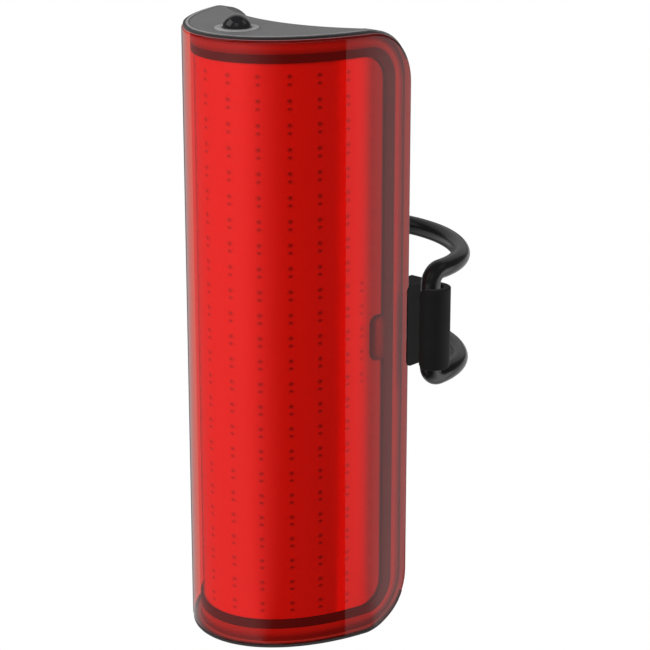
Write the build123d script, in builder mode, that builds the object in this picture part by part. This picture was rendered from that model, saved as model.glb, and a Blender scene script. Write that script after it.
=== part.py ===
from build123d import *
import math
import os

# Bike rear light with a wrap-round lens, millimetres.
# The origin is on the seat post's axis at the middle of the cradle, +Z up the post, +Y to the rear
# of the light, where the post is, and the lens faces -Y. Heights below are measured from the light's
# flat base, and depths from the tips of the two horns beside the post, forward being negative.

# Body
height = 112.0
half_width = 20.0
depth = 30.3
corner_radius = 9.6
plate_inset = 0.75
plate_lip = 0.5
plate_thickness = 2.0
overrun = 4.0
fine_gap = 0.05

# Seat post and the groove behind the light
post_radius = 13.7
post_behind_tips = 3.9
cradle_height = 57.5
groove_half_width = 17.0
groove_foot_half_width = 16.2
groove_radius = 28.7
groove_depth = 14.1
back_wall = 2.0

# Lens and the skins under it, as insets from the lens's outer face
lens_wall = 1.5
lens_edge_round = 0.45
seat_gap = 0.1
board_inset = 2.05
board_thickness = 0.25
floor_inset = 2.35
spreader_thickness = 0.95
cavity_inset = 3.4

# Lens gasket, as seen from the side
gasket_low = 3.1
gasket_top_margin = 3.2
gasket_width = 1.5
gasket_rear_margin = 2.7
gasket_rear_width = 2.1
gasket_corner = 6.0
tab_height = 8.2
tab_middle = 56.2
tab_reach = 2.7
tab_round = 1.4

# LED rows and columns on the flexible board
led_row_pitch = 4.22
led_first_row = 7.2
led_end_margin = 2.6
led_columns_each_side = 6
led_column_pitch = 5.36
led_side_step = 2.35
led_chip_width = 0.9
led_chip_height = 2.25
led_chip_thickness = 0.2
board_margin = 0.15

# Main board and what is on it
main_board_front = 22.4
main_board_thickness = 1.0
main_board_half_width = 8.4
main_board_low = 4.0
main_board_top_margin = 8.0
main_board_corner = 1.0
boss_radius = 2.0
board_screw_radius = 0.8
board_screw_head_radius = 1.5
board_screw_head_height = 1.0
board_screw_length = 4.5
board_screw_low_margin = 2.6
board_screw_high_margin = 3.6
board_screw_side = 5.4
chip_side = 5.0
chip_height_off_board = 1.0
chip_above_middle = 6.0
pad_side = 6.4
coil_radius = 2.6
coil_length = 2.4
coil_below_middle = 8.0
capacitor_width = 1.6
capacitor_height = 1.1
capacitor_stand = 0.8
capacitor_above_middle = 18.0
capacitor_pitch = 4.0
capacitor_count = 4
connector_width = 8.0
connector_height = 2.4
connector_depth = 1.5
connector_margin = 5.0
tail_width = 6.0
tail_thickness = 0.2

# Battery
battery_width = 18.0
battery_thickness = 4.0
battery_above_socket = 13.6
battery_top_margin = 8.0
battery_gap_to_board = 0.4
battery_corner = 1.2
pad_margin = 6.0
pad_half_width = 7.5
tab_strip_width = 2.0
tab_strip_thickness = 0.2
tab_strip_rise = 2.0
tab_strip_side = 2.6

# Charging socket
socket_width = 8.94
socket_height = 3.26
socket_round = 1.55
socket_wall = 0.3
socket_middle = 18.4
socket_clearance = 0.2
tongue_width = 6.7
tongue_thickness = 0.7
tongue_setback = 0.6
tongue_root = 1.0
port_boss_thickness = 4.0
port_boss_half_width = 8.6
port_boss_margin = 2.4

# Flap over the socket
flap_half_width = 6.0
flap_low = 11.6
flap_thickness = 1.6
flap_hinge_height = 25.2
flap_clearance = 0.3
flap_head_room = 1.5
flap_plug_width = 6.6
flap_plug_height = 1.5
flap_grip_height = 1.0
flap_grip_depth = 0.6
hinge_pin_radius = 0.35
hinge_pin_seat = 0.9
hinge_gap = 0.04
socket_setback = 0.15

# Push button on top
button_behind_tips = -22.8
button_radius = 2.5
button_dome_height = 2.4
button_flange_radius = 3.3
button_flange_thickness = 0.8
button_play = 0.2
button_gap = 0.1
button_travel = 0.6
ring_radius = 3.875
ring_thickness = 1.2
ring_stand = 0.15
ring_edge = 0.2
shaft_seal_width = 0.3
shaft_seal_thickness = 0.6

# Switch under the button
switch_side = 4.6
switch_board_half_width = 5.3
switch_board_length = 5.6
switch_board_thickness = 1.0
switch_board_corner = 1.2
plunger_radius = 1.0
plunger_gap = 0.4
plunger_stand = 1.0
plunger_depth = 1.2
plunger_share = 0.5
plunger_floor_gap = 0.3
status_led_width = 1.0
status_led_length = 1.6
status_led_height = 0.7
status_led_side = 4.2

# Cradle against the seat post
cradle_length = 40.0
cradle_side_gap = 0.5
cradle_back = 2.0
cradle_fit = 0.05
grip_pad_thickness = 2.2
grip_pad_length = 38.0
grip_pad_half_angle = 66.0
arm_height = 15.0
arm_front_gap = 0.4
arm_outer = 20.4
arm_round = 0.9
arm_lip_reach = 1.3
arm_lip_gap = 0.12
cradle_screw_radius = 1.2
cradle_screw_head_radius = 2.4
cradle_screw_head_height = 1.2
cradle_screw_spread = 13.0

# Hooks that hold the strap
hook_middle = 23.4
hook_wall = 1.2
hook_bore_radius = 1.85
hook_mouth = 2.1
hook_rear = 5.7
hook_flap_round = 1.2
hook_edge_round = 0.25

# Strap, a closed moulded ring
strap_diameter = 3.5
strap_half_width = 22.6
strap_reach = 19.35
strap_side_radius = 17.0
strap_bend_radius = 2.5

# Places worked out from the sizes above
tip_y = -post_behind_tips
base_z = -cradle_height
groove_middle = groove_radius - groove_depth
post_y = post_behind_tips
strap_y = hook_rear - hook_wall - hook_bore_radius
window_low = gasket_low + gasket_width
window_high = height - gasket_top_margin - gasket_width
window_rear = -(gasket_rear_margin + gasket_rear_width)
window_corner = gasket_corner - gasket_width
main_board_high = height - main_board_top_margin
main_board_middle = (main_board_low + main_board_high) / 2


def level(z):
    """A horizontal plane at a height above the base, with y measured from the horn tips."""
    return Plane(origin=(0, tip_y, base_z + z))


def upright(y):
    """An upright plane across the light that faces forward, with heights from the base."""
    return Plane(origin=(0, tip_y + y, base_z), x_dir=(1, 0, 0), z_dir=(0, -1, 0))


side = Plane(origin=(0, tip_y, base_z), x_dir=(0, 1, 0), z_dir=(1, 0, 0))


def front_face(inset):
    """Plan of the body in front of the horn tips, drawn in from the lens's outer face."""
    across = half_width - inset
    with BuildSketch() as face:
        with BuildLine():
            EllipticalCenterArc((0, 0), across, depth - inset, start_angle=180, arc_size=180)
            Line((across, 0), (-across, 0))
        make_face()
    return face.sketch


def skin(outer_inset, inner_inset):
    """Plan of a curved sheet that follows the lens."""
    with BuildSketch() as band:
        add(front_face(outer_inset))
        add(front_face(inner_inset), mode=Mode.SUBTRACT)
    return band.sketch


def side_window(low, high, rear, corner):
    """Side view of a window that runs out through the front and has rounded rear corners."""
    front = -(depth + overrun)
    with BuildSketch() as window:
        with BuildLine():
            Polyline((front, low), (rear, low), (rear, high), (front, high), close=True)
        make_face()
        if corner:
            fillet(window.vertices().group_by(Axis.X)[-1], radius=corner)
    return window.sketch


def groove_plan(wall):
    """Plan of the groove for the post, with its floor moved forward by a wall."""
    foot_half = groove_foot_half_width
    foot_y = groove_middle - math.sqrt(groove_radius**2 - foot_half**2)
    radius = groove_radius + wall
    reach = radius * foot_half / groove_radius
    floor_y = groove_middle - math.sqrt(radius**2 - reach**2)
    with BuildSketch() as plan:
        with BuildLine():
            ThreePointArc((-reach, floor_y), (0, groove_middle - radius), (reach, floor_y))
            if wall:
                Polyline((reach, floor_y), (half_width, floor_y), (half_width, overrun),
                         (-half_width, overrun), (-half_width, floor_y), (-reach, floor_y))
            else:
                Polyline((reach, foot_y), (groove_half_width, 0), (groove_half_width, overrun),
                         (-groove_half_width, overrun), (-groove_half_width, 0), (-reach, foot_y))
        make_face()
    return plan.sketch


body_profile = side_window(0, height, 0, corner_radius)
lens_profile = side_window(plate_lip, height - plate_lip, 0, corner_radius)
gasket_outside = side_window(gasket_low, height - gasket_top_margin, -gasket_rear_margin, gasket_corner)
gasket_inside = side_window(window_low, window_high, window_rear, window_corner)

# Lens
with BuildPart() as lens:
    with BuildSketch(level(plate_lip)):
        add(skin(0, lens_wall))
    extrude(amount=height - 2 * plate_lip)
    with BuildSketch(side):
        add(lens_profile)
    extrude(amount=half_width, both=True, mode=Mode.INTERSECT)
    outer_face = lens.faces().sort_by(SortBy.AREA)[-1]
    fillet(outer_face.edges(), radius=lens_edge_round)
lens.part.label = "lens"

# Space that the lens takes out of the housing's skin
with BuildPart() as lens_space:
    with BuildSketch(level(0)):
        add(skin(-overrun, lens_wall + seat_gap))
    extrude(amount=height)
    with BuildSketch(side):
        add(side_window(plate_lip - fine_gap, height - plate_lip + fine_gap, overrun, corner_radius))
    extrude(amount=half_width + overrun, both=True, mode=Mode.INTERSECT)
    with BuildSketch(side):
        add(side_window(plate_lip - fine_gap, height - plate_lip + fine_gap, fine_gap, corner_radius))
    extrude(amount=half_width + overrun, both=True, mode=Mode.INTERSECT)

# Shallow tray in the housing that the gasket and the LED board lie in
with BuildPart() as board_tray:
    with BuildSketch(level(0)):
        add(skin(0, floor_inset))
    extrude(amount=height)
    with BuildSketch(side):
        add(side_window(gasket_low - fine_gap, height - gasket_top_margin + fine_gap,
                        -gasket_rear_margin + fine_gap, gasket_corner))
    extrude(amount=half_width, both=True, mode=Mode.INTERSECT)

# Opening behind the LED board, where the heat spreader lies
spreader_low = window_low + gasket_width
spreader_high = window_high - gasket_width
spreader_rear = window_rear * 2
with BuildPart() as spreader_space:
    with BuildSketch(level(0)):
        add(skin(board_inset, cavity_inset + fine_gap))
    extrude(amount=height)
    with BuildSketch(side):
        add(side_window(spreader_low, spreader_high, spreader_rear, 0))
    extrude(amount=half_width, both=True, mode=Mode.INTERSECT)

# Hollow inside the housing
with BuildPart() as cavity:
    with BuildSketch(level(plate_thickness)):
        add(front_face(cavity_inset))
        add(groove_plan(back_wall), mode=Mode.SUBTRACT)
    extrude(amount=height - 2 * plate_thickness)

# Rear housing with its bosses, socket wall, flap pocket and button hole
board_rear = -(main_board_front - main_board_thickness)
inner_wall = -(groove_depth + back_wall)
pocket_floor = -groove_depth - flap_thickness - flap_clearance / 2
socket_face = pocket_floor - socket_setback
board_screw_low = main_board_low + board_screw_low_margin
board_screw_high = main_board_high - board_screw_high_margin
screw_places = [(-board_screw_side, board_screw_low), (board_screw_side, board_screw_low),
                (-board_screw_side, board_screw_high), (board_screw_side, board_screw_high)]
pocket_low = flap_low - flap_clearance
pocket_high = flap_hinge_height + flap_head_room
pocket_middle = (pocket_low + pocket_high) / 2
pocket_half_width = flap_half_width + flap_clearance
hinge_y = -groove_depth - flap_thickness / 2
pin_half_length = pocket_half_width + hinge_pin_seat
ring_floor = height - ring_thickness
with BuildPart() as rear_housing:
    with BuildSketch(level(0)):
        add(front_face(plate_inset))
        add(groove_plan(0), mode=Mode.SUBTRACT)
    extrude(amount=height)
    with BuildSketch(side):
        add(body_profile)
    extrude(amount=half_width, both=True, mode=Mode.INTERSECT)
    add(cavity.part, mode=Mode.SUBTRACT)
    add(board_tray.part, mode=Mode.SUBTRACT)
    add(spreader_space.part, mode=Mode.SUBTRACT)
    add(lens_space.part, mode=Mode.SUBTRACT)
    # Block behind the charging socket and bosses for the main board
    with BuildSketch(upright(inner_wall)):
        with Locations((0, pocket_middle)):
            Rectangle(2 * port_boss_half_width, pocket_high - pocket_low + port_boss_margin)
    extrude(amount=port_boss_thickness - back_wall)
    with BuildSketch(upright(inner_wall)):
        with Locations((0, pocket_middle)):
            Rectangle(2 * port_boss_half_width, pocket_high - pocket_low + port_boss_margin)
    extrude(amount=-(back_wall - flap_clearance))
    with BuildSketch(upright(board_rear + fine_gap)):
        with Locations(*screw_places):
            Circle(boss_radius)
    extrude(amount=board_rear - inner_wall - back_wall / 2)
    with BuildSketch(upright(board_rear)):
        with Locations(*screw_places):
            Circle(board_screw_radius + fine_gap)
    extrude(amount=-board_screw_length, mode=Mode.SUBTRACT)
    # Pocket for the flap, slot for the socket and holes for the hinge pin
    with BuildSketch(upright(pocket_floor)):
        with Locations((0, pocket_middle)):
            Rectangle(2 * pocket_half_width, pocket_high - pocket_low)
    extrude(amount=-overrun, mode=Mode.SUBTRACT)
    with BuildSketch(upright(pocket_floor + fine_gap)):
        with Locations((0, socket_middle)):
            RectangleRounded(socket_width + 2 * socket_clearance, socket_height + 2 * socket_clearance,
                             socket_round + socket_clearance)
    extrude(amount=port_boss_thickness, mode=Mode.SUBTRACT)
    with BuildSketch(side.offset(-pin_half_length)):
        with Locations((hinge_y, flap_hinge_height)):
            Circle(hinge_pin_radius + hinge_gap / 2)
    extrude(amount=2 * pin_half_length, mode=Mode.SUBTRACT)
    # Hole for the button and seat for its ring
    with BuildSketch(level(ring_floor)):
        with Locations((0, button_behind_tips)):
            Circle(ring_radius + fine_gap)
    extrude(amount=ring_thickness + overrun, mode=Mode.SUBTRACT)
    with BuildSketch(level(height - plate_thickness - fine_gap)):
        with Locations((0, button_behind_tips)):
            Circle(button_radius + button_gap + shaft_seal_width)
    extrude(amount=plate_thickness, mode=Mode.SUBTRACT)
    # Holes for the cradle's screws
    with BuildSketch(upright(-groove_depth + fine_gap)):
        with Locations((0, cradle_height - cradle_screw_spread), (0, cradle_height + cradle_screw_spread)):
            Circle(cradle_screw_radius + fine_gap)
    extrude(amount=back_wall + 2 * fine_gap, mode=Mode.SUBTRACT)
rear_housing.part.label = "rear_housing"

# Gasket round the lit area, with a tab on each side
with BuildPart() as lens_gasket:
    with BuildSketch(level(0)):
        add(skin(lens_wall + fine_gap, floor_inset - fine_gap))
    extrude(amount=height)
    with BuildSketch(side):
        add(gasket_outside)
        add(gasket_inside, mode=Mode.SUBTRACT)
        with Locations((window_rear - tab_reach / 2 + tab_round / 2, tab_middle)):
            RectangleRounded(tab_reach + tab_round, tab_height, tab_round)
    extrude(amount=half_width, both=True, mode=Mode.INTERSECT)
lens_gasket.part.label = "lens_gasket"

# Flexible LED board
board_rear_edge = window_rear - board_margin
with BuildPart() as led_board:
    with BuildSketch(level(0)):
        add(skin(board_inset, board_inset + board_thickness))
    extrude(amount=height)
    with BuildSketch(side):
        add(side_window(window_low + board_margin, window_high - board_margin, board_rear_edge,
                        window_corner - board_margin))
        with Locations((window_rear - tab_reach / 2 + tab_round / 2, tab_middle)):
            RectangleRounded(tab_reach + tab_round + 2 * board_margin, tab_height + 2 * board_margin,
                             tab_round + board_margin, mode=Mode.SUBTRACT)
    extrude(amount=half_width, both=True, mode=Mode.INTERSECT)
led_board.part.label = "led_board"

# LED chips in rows and columns
with BuildLine(level(0)) as led_line:
    EllipticalCenterArc((0, 0), half_width - board_inset, depth - board_inset, start_angle=180, arc_size=180)
led_arc = led_line.edge()
led_arc_middle = led_arc.length / 2
led_reach = window_high - led_end_margin - led_first_row
led_rows = int(led_reach / led_row_pitch) + 1
led_column_arcs = [(2 * column + 1) * led_column_pitch / 2 for column in range(led_columns_each_side)]
row_heights = [led_first_row + row * led_row_pitch for row in range(led_rows)]
side_zone = tab_height / 2 + led_row_pitch + led_chip_height


def chip_column(arc_place, heights):
    """One column of chips on the LED board, at an arc length from its middle line."""
    place = led_arc.position_at(led_arc_middle + arc_place, position_mode=PositionMode.LENGTH)
    along = led_arc.tangent_at(led_arc_middle + arc_place, position_mode=PositionMode.LENGTH)
    with BuildPart() as column:
        with BuildSketch(Plane(origin=place, x_dir=along, z_dir=(along.Y, -along.X, 0))) as chips:
            with Locations(*[(0, row_height) for row_height in heights]):
                Rectangle(led_chip_width, led_chip_height)
        extrude(amount=led_chip_thickness)
    return column.part


with BuildPart() as led_chips:
    for arc_place in led_column_arcs:
        for hand in (-1, 1):
            if arc_place == max(led_column_arcs):
                beside = [h for h in row_heights if abs(h - tab_middle) < side_zone]
                clear = [h for h in row_heights if abs(h - tab_middle) >= side_zone]
                add(chip_column(hand * (arc_place - led_side_step), beside))
                add(chip_column(hand * arc_place, clear))
            else:
                add(chip_column(hand * arc_place, row_heights))
led_chips.part.label = "led_chips"

# Aluminium heat spreader behind the LED board
with BuildPart() as heat_spreader:
    with BuildSketch(level(0)):
        add(skin(floor_inset, floor_inset + spreader_thickness))
    extrude(amount=height)
    with BuildSketch(side):
        add(side_window(spreader_low + seat_gap, spreader_high - seat_gap, spreader_rear - seat_gap, 0))
    extrude(amount=half_width, both=True, mode=Mode.INTERSECT)
heat_spreader.part.label = "heat_spreader"

# Main board
main_board_height = main_board_high - main_board_low
with BuildPart() as main_board:
    with BuildSketch(upright(board_rear)):
        with Locations((0, main_board_low + main_board_height / 2)):
            RectangleRounded(2 * main_board_half_width, main_board_height, main_board_corner)
        with Locations(*screw_places):
            Circle(board_screw_radius + seat_gap, mode=Mode.SUBTRACT)
    extrude(amount=main_board_thickness)
main_board.part.label = "main_board"

with BuildPart() as board_screws:
    with BuildSketch(upright(-main_board_front)):
        with Locations(*screw_places):
            Circle(board_screw_head_radius)
    extrude(amount=board_screw_head_height)
    with BuildSketch(upright(-main_board_front)):
        with Locations(*screw_places):
            Circle(board_screw_radius)
    extrude(amount=-(board_screw_length + main_board_thickness - seat_gap))
board_screws.part.label = "board_screws"

# Parts on the front of the main board
chip_middle = main_board_middle + chip_above_middle
coil_middle = main_board_middle - coil_below_middle
capacitor_first = main_board_middle + capacitor_above_middle
with BuildPart() as driver_chip:
    with BuildSketch(upright(-main_board_front)):
        with Locations((0, chip_middle)):
            Rectangle(chip_side, chip_side)
    extrude(amount=chip_height_off_board)
driver_chip.part.label = "driver_chip"

with BuildPart() as thermal_pad:
    with BuildSketch(level(chip_middle - pad_side / 2)):
        add(front_face(cavity_inset))
        with Locations((0, -(depth + main_board_front + chip_height_off_board) / 2)):
            Rectangle(pad_side, depth - main_board_front - chip_height_off_board, mode=Mode.INTERSECT)
    extrude(amount=pad_side)
thermal_pad.part.label = "thermal_pad"

with BuildPart() as driver_coil:
    with BuildSketch(upright(-main_board_front)):
        with Locations((0, coil_middle)):
            Circle(coil_radius)
    extrude(amount=coil_length)
driver_coil.part.label = "driver_coil"

with BuildPart() as capacitors:
    with BuildSketch(upright(-main_board_front)):
        for index in range(capacitor_count):
            with Locations((0, capacitor_first + index * capacitor_pitch)):
                Rectangle(capacitor_width, capacitor_height)
    extrude(amount=capacitor_stand)
capacitors.part.label = "capacitors"

# Connector and tail that join the LED board to the main board
connector_low = main_board_low + connector_margin
with BuildPart() as tail_connector:
    with BuildSketch(upright(-main_board_front)):
        with Locations((0, connector_low + connector_height / 2)):
            Rectangle(connector_width, connector_height)
    extrude(amount=connector_depth)
tail_connector.part.label = "tail_connector"

tail_height = connector_low + connector_height / 2
with BuildPart() as board_tail:
    with BuildSketch(level(tail_height)):
        add(front_face(cavity_inset))
        with Locations((0, -(depth + main_board_front + connector_depth) / 2)):
            Rectangle(tail_width, depth - main_board_front - connector_depth, mode=Mode.INTERSECT)
    extrude(amount=tail_thickness)
board_tail.part.label = "board_tail"

# Battery with its tabs and its foam pad
battery_front = board_rear + battery_gap_to_board
battery_rear = battery_front + battery_thickness
battery_low = socket_middle + battery_above_socket
battery_high = main_board_high - battery_top_margin
battery_height = battery_high - battery_low
battery_middle = battery_low + battery_height / 2
with BuildPart() as battery_cell:
    with BuildSketch(upright(battery_rear)):
        with Locations((0, battery_middle)):
            RectangleRounded(battery_width, battery_height, battery_corner)
    extrude(amount=battery_thickness)
battery_cell.part.label = "battery_cell"

with BuildPart() as battery_pad:
    with BuildSketch(level(battery_low + pad_margin)):
        with Locations((0, battery_rear + fine_gap + battery_thickness / 2)):
            Rectangle(2 * pad_half_width, battery_thickness)
        add(groove_plan(back_wall + fine_gap), mode=Mode.SUBTRACT)
    extrude(amount=battery_height - 2 * pad_margin)
battery_pad.part.label = "battery_pad"

# Two thin strips that rise from the battery and turn forward to the main board
tab_strip_y = battery_front + battery_thickness / 2
tab_strip_top = battery_high + tab_strip_rise
with BuildPart() as battery_tabs:
    for hand in (-1, 1):
        with BuildSketch(side.offset(hand * tab_strip_side)):
            with BuildLine():
                Polyline((tab_strip_y, battery_high), (tab_strip_y, tab_strip_top),
                         (board_rear, tab_strip_top),
                         (board_rear, tab_strip_top - tab_strip_thickness),
                         (tab_strip_y - tab_strip_thickness, tab_strip_top - tab_strip_thickness),
                         (tab_strip_y - tab_strip_thickness, battery_high), close=True)
            make_face()
        extrude(amount=tab_strip_width / 2, both=True)
battery_tabs.part.label = "battery_tabs"

# Charging socket on the rear of the main board
socket_length = socket_face - board_rear
with BuildPart() as socket_shell:
    with BuildSketch(upright(socket_face)):
        with Locations((0, socket_middle)):
            RectangleRounded(socket_width, socket_height, socket_round)
            RectangleRounded(socket_width - 2 * socket_wall, socket_height - 2 * socket_wall,
                             socket_round - socket_wall, mode=Mode.SUBTRACT)
    extrude(amount=socket_length)
socket_shell.part.label = "socket_shell"

with BuildPart() as socket_tongue:
    with BuildSketch(upright(board_rear)):
        with Locations((0, socket_middle)):
            RectangleRounded(socket_width - 2 * (socket_wall + fine_gap),
                             socket_height - 2 * (socket_wall + fine_gap),
                             socket_round - socket_wall - fine_gap)
    extrude(amount=-tongue_root)
    with BuildSketch(upright(board_rear)):
        with Locations((0, socket_middle)):
            Rectangle(tongue_width, tongue_thickness)
    extrude(amount=-(socket_length - tongue_setback))
socket_tongue.part.label = "socket_tongue"

# Flap over the socket, with its hinge pin
flap_face = -groove_depth
flap_inner = flap_face - flap_thickness
with BuildPart() as port_cover:
    with BuildSketch(side.offset(-flap_half_width)):
        with Locations((hinge_y, (flap_low + flap_hinge_height) / 2)):
            Rectangle(flap_thickness, flap_hinge_height - flap_low)
        with Locations((hinge_y, flap_hinge_height)):
            Circle(flap_thickness / 2)
            Circle(hinge_pin_radius + hinge_gap, mode=Mode.SUBTRACT)
        with Locations((flap_face + flap_grip_depth / 2, flap_low + flap_grip_height / 2)):
            Rectangle(flap_grip_depth, flap_grip_height)
    extrude(amount=2 * flap_half_width)
    with BuildSketch(upright(flap_inner)):
        with Locations((0, socket_middle)):
            Rectangle(flap_plug_width, flap_plug_height)
    extrude(amount=socket_setback + flap_clearance)
port_cover.part.label = "port_cover"

with BuildPart() as port_cover_pin:
    with BuildSketch(side.offset(-pin_half_length + fine_gap)):
        with Locations((hinge_y, flap_hinge_height)):
            Circle(hinge_pin_radius)
    extrude(amount=2 * (pin_half_length - fine_gap))
port_cover_pin.part.label = "port_cover_pin"

# Button with its ring and shaft seal
button_plane = Plane(origin=(0, tip_y + button_behind_tips, base_z), x_dir=(1, 0, 0), z_dir=(0, -1, 0))
flange_high = height - plate_thickness - button_play
flange_low = flange_high - button_flange_thickness
dome_radius = (button_radius**2 + button_dome_height**2) / (2 * button_dome_height)
dome_angle = math.atan2(button_radius, dome_radius - button_dome_height) / 2
dome_shoulder = (dome_radius * math.sin(dome_angle),
                 height + button_dome_height - dome_radius * (1 - math.cos(dome_angle)))
with BuildPart() as button_dome:
    with BuildSketch(button_plane):
        with BuildLine():
            Polyline((0, height + button_dome_height), (0, flange_low), (button_flange_radius, flange_low),
                     (button_flange_radius, flange_high), (button_radius, flange_high),
                     (button_radius, height))
            ThreePointArc((button_radius, height), dome_shoulder, (0, height + button_dome_height))
        make_face()
    revolve(axis=Axis(origin=(0, tip_y + button_behind_tips, 0), direction=(0, 0, 1)))
button_dome.part.label = "button_dome"

with BuildPart() as button_ring:
    with BuildSketch(level(ring_floor)):
        with Locations((0, button_behind_tips)):
            Circle(ring_radius)
            Circle(button_radius + button_gap, mode=Mode.SUBTRACT)
    extrude(amount=ring_thickness + ring_stand)
    chamfer(button_ring.edges().group_by(Axis.Z)[-1], length=ring_edge / 2)
button_ring.part.label = "button_ring"

with BuildPart() as button_seal:
    with BuildSketch(level(ring_floor - shaft_seal_thickness - fine_gap)):
        with Locations((0, button_behind_tips)):
            Circle(button_radius + button_gap + shaft_seal_width - fine_gap)
            Circle(button_radius + button_gap / 2, mode=Mode.SUBTRACT)
    extrude(amount=shaft_seal_thickness)
button_seal.part.label = "button_seal"

# Switch, its plunger and its board
switch_floor = main_board_high + switch_board_thickness
plunger_high = flange_low - plunger_gap
switch_high = plunger_high - plunger_stand
with BuildPart() as switch_board:
    with BuildSketch(level(main_board_high)):
        with Locations((0, button_behind_tips)):
            RectangleRounded(2 * switch_board_half_width, switch_board_length, switch_board_corner)
    extrude(amount=switch_board_thickness)
switch_board.part.label = "switch_board"

with BuildPart() as switch_body:
    with BuildSketch(level(switch_floor)):
        with Locations((0, button_behind_tips)):
            Rectangle(switch_side, switch_side)
    extrude(amount=switch_high - switch_floor)
    with BuildSketch(level(switch_high)):
        with Locations((0, button_behind_tips)):
            Circle(plunger_radius + button_gap)
    extrude(amount=-(plunger_depth + button_travel * plunger_share + plunger_floor_gap), mode=Mode.SUBTRACT)
switch_body.part.label = "switch_body"

with BuildPart() as switch_plunger:
    with BuildSketch(level(switch_high - plunger_depth)):
        with Locations((0, button_behind_tips)):
            Circle(plunger_radius)
    extrude(amount=plunger_depth + plunger_stand)
switch_plunger.part.label = "switch_plunger"

with BuildPart() as status_leds:
    with BuildSketch(level(switch_floor)):
        with Locations((-status_led_side, button_behind_tips), (status_led_side, button_behind_tips)):
            Rectangle(status_led_width, status_led_length)
    extrude(amount=status_led_height)
status_leds.part.label = "status_leds"

# Cradle with its arms and strap hooks
pad_outer_radius = post_radius + grip_pad_thickness
bore_radius = pad_outer_radius + cradle_fit
cradle_half_width = groove_foot_half_width - cradle_side_gap
arm_low = cradle_height - arm_height / 2
arm_rear = hook_rear
arm_front = arm_front_gap
arm_side_reach = arm_rear - arm_front + arm_lip_reach
lip_thickness = arm_outer - half_width - arm_lip_gap
lip_middle = arm_front - arm_lip_reach / 2 + fine_gap
hook_outer_radius = hook_bore_radius + hook_wall
cradle_radius = groove_radius - fine_gap
cradle_foot_y = groove_middle - math.sqrt(cradle_radius**2 - cradle_half_width**2)
with BuildPart() as cradle:
    with BuildSketch(level(cradle_height - cradle_length / 2)):
        with BuildLine():
            ThreePointArc((-cradle_half_width, cradle_foot_y), (0, groove_middle - cradle_radius),
                          (cradle_half_width, cradle_foot_y))
            Polyline((cradle_half_width, cradle_foot_y), (cradle_half_width, -cradle_back),
                     (-cradle_half_width, -cradle_back), (-cradle_half_width, cradle_foot_y))
        make_face()
    extrude(amount=cradle_length)
    for hand in (-1, 1):
        with BuildSketch(level(arm_low)):
            with BuildLine():
                Polyline((0, -cradle_back - hook_wall), (hand * cradle_half_width, -cradle_back - hook_wall),
                         (hand * cradle_half_width, arm_front), (hand * arm_outer, arm_front),
                         (hand * arm_outer, arm_rear), (0, arm_rear), close=True)
            make_face()
            with Locations((hand * hook_middle, strap_y)):
                Circle(hook_outer_radius)
            with Locations((hand * (arm_outer + hook_middle) / 2, strap_y)):
                Rectangle(hook_middle - arm_outer, 2 * hook_outer_radius)
            # Lip that laps over the rear edge of the lens
            with Locations((hand * (arm_outer - lip_thickness / 2), lip_middle)):
                Rectangle(lip_thickness, arm_lip_reach + 2 * fine_gap)
        extrude(amount=arm_height)
        with BuildSketch(level(arm_low)):
            with Locations((hand * hook_middle, strap_y)):
                Circle(hook_bore_radius)
            with Locations((hand * (arm_outer + hook_middle) / 2, strap_y)):
                Rectangle(hook_middle - arm_outer, 2 * hook_bore_radius)
            with Locations((hand * (arm_outer + hook_mouth / 2), strap_y - hook_outer_radius)):
                Rectangle(hook_mouth, 2 * hook_outer_radius)
        extrude(amount=arm_height, mode=Mode.SUBTRACT)
    with BuildSketch(level(0)):
        with Locations((0, post_y)):
            Circle(bore_radius)
    extrude(amount=height, mode=Mode.SUBTRACT)
    with BuildSketch(upright(-groove_depth)):
        with Locations((0, cradle_height - cradle_screw_spread), (0, cradle_height + cradle_screw_spread)):
            Circle(cradle_screw_radius + fine_gap)
    extrude(amount=-groove_depth, mode=Mode.SUBTRACT)
    with BuildSketch(upright(post_y - bore_radius - cradle_screw_head_height - fine_gap)):
        with Locations((0, cradle_height - cradle_screw_spread), (0, cradle_height + cradle_screw_spread)):
            Circle(cradle_screw_head_radius + fine_gap)
    extrude(amount=-groove_depth, mode=Mode.SUBTRACT)
    # Rounded corners on the arms and on the free ends of the hooks
    mouth_end = arm_outer + hook_mouth
    flap_corners = [edge for edge in cradle.edges().filter_by(Axis.Y)
                    if abs(abs(edge.center().X) - mouth_end) < fine_gap]
    fillet(flap_corners, radius=hook_flap_round)
    for hand in (-1, 1):
        with BuildSketch(side.offset(hand * cradle_half_width)):
            with Locations((arm_rear, cradle_height)):
                Rectangle(2 * arm_side_reach, arm_height)
                RectangleRounded(2 * arm_side_reach, arm_height, arm_round, mode=Mode.SUBTRACT)
        extrude(amount=hand * (arm_outer - cradle_half_width), mode=Mode.SUBTRACT)
    hook_rims = [edge for edge in cradle.edges().filter_by(GeomType.CIRCLE)
                 if abs(edge.radius - hook_outer_radius) < fine_gap]
    fillet(hook_rims, radius=hook_edge_round)
cradle.part.label = "cradle"

screw_seat = post_y - bore_radius - cradle_screw_head_height
with BuildPart() as cradle_screws:
    with BuildSketch(upright(screw_seat)):
        with Locations((0, cradle_height - cradle_screw_spread), (0, cradle_height + cradle_screw_spread)):
            Circle(cradle_screw_head_radius)
    extrude(amount=-(cradle_screw_head_height - fine_gap))
    with BuildSketch(upright(screw_seat)):
        with Locations((0, cradle_height - cradle_screw_spread), (0, cradle_height + cradle_screw_spread)):
            Circle(cradle_screw_radius)
    extrude(amount=screw_seat + groove_depth + back_wall)
cradle_screws.part.label = "cradle_screws"

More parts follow.
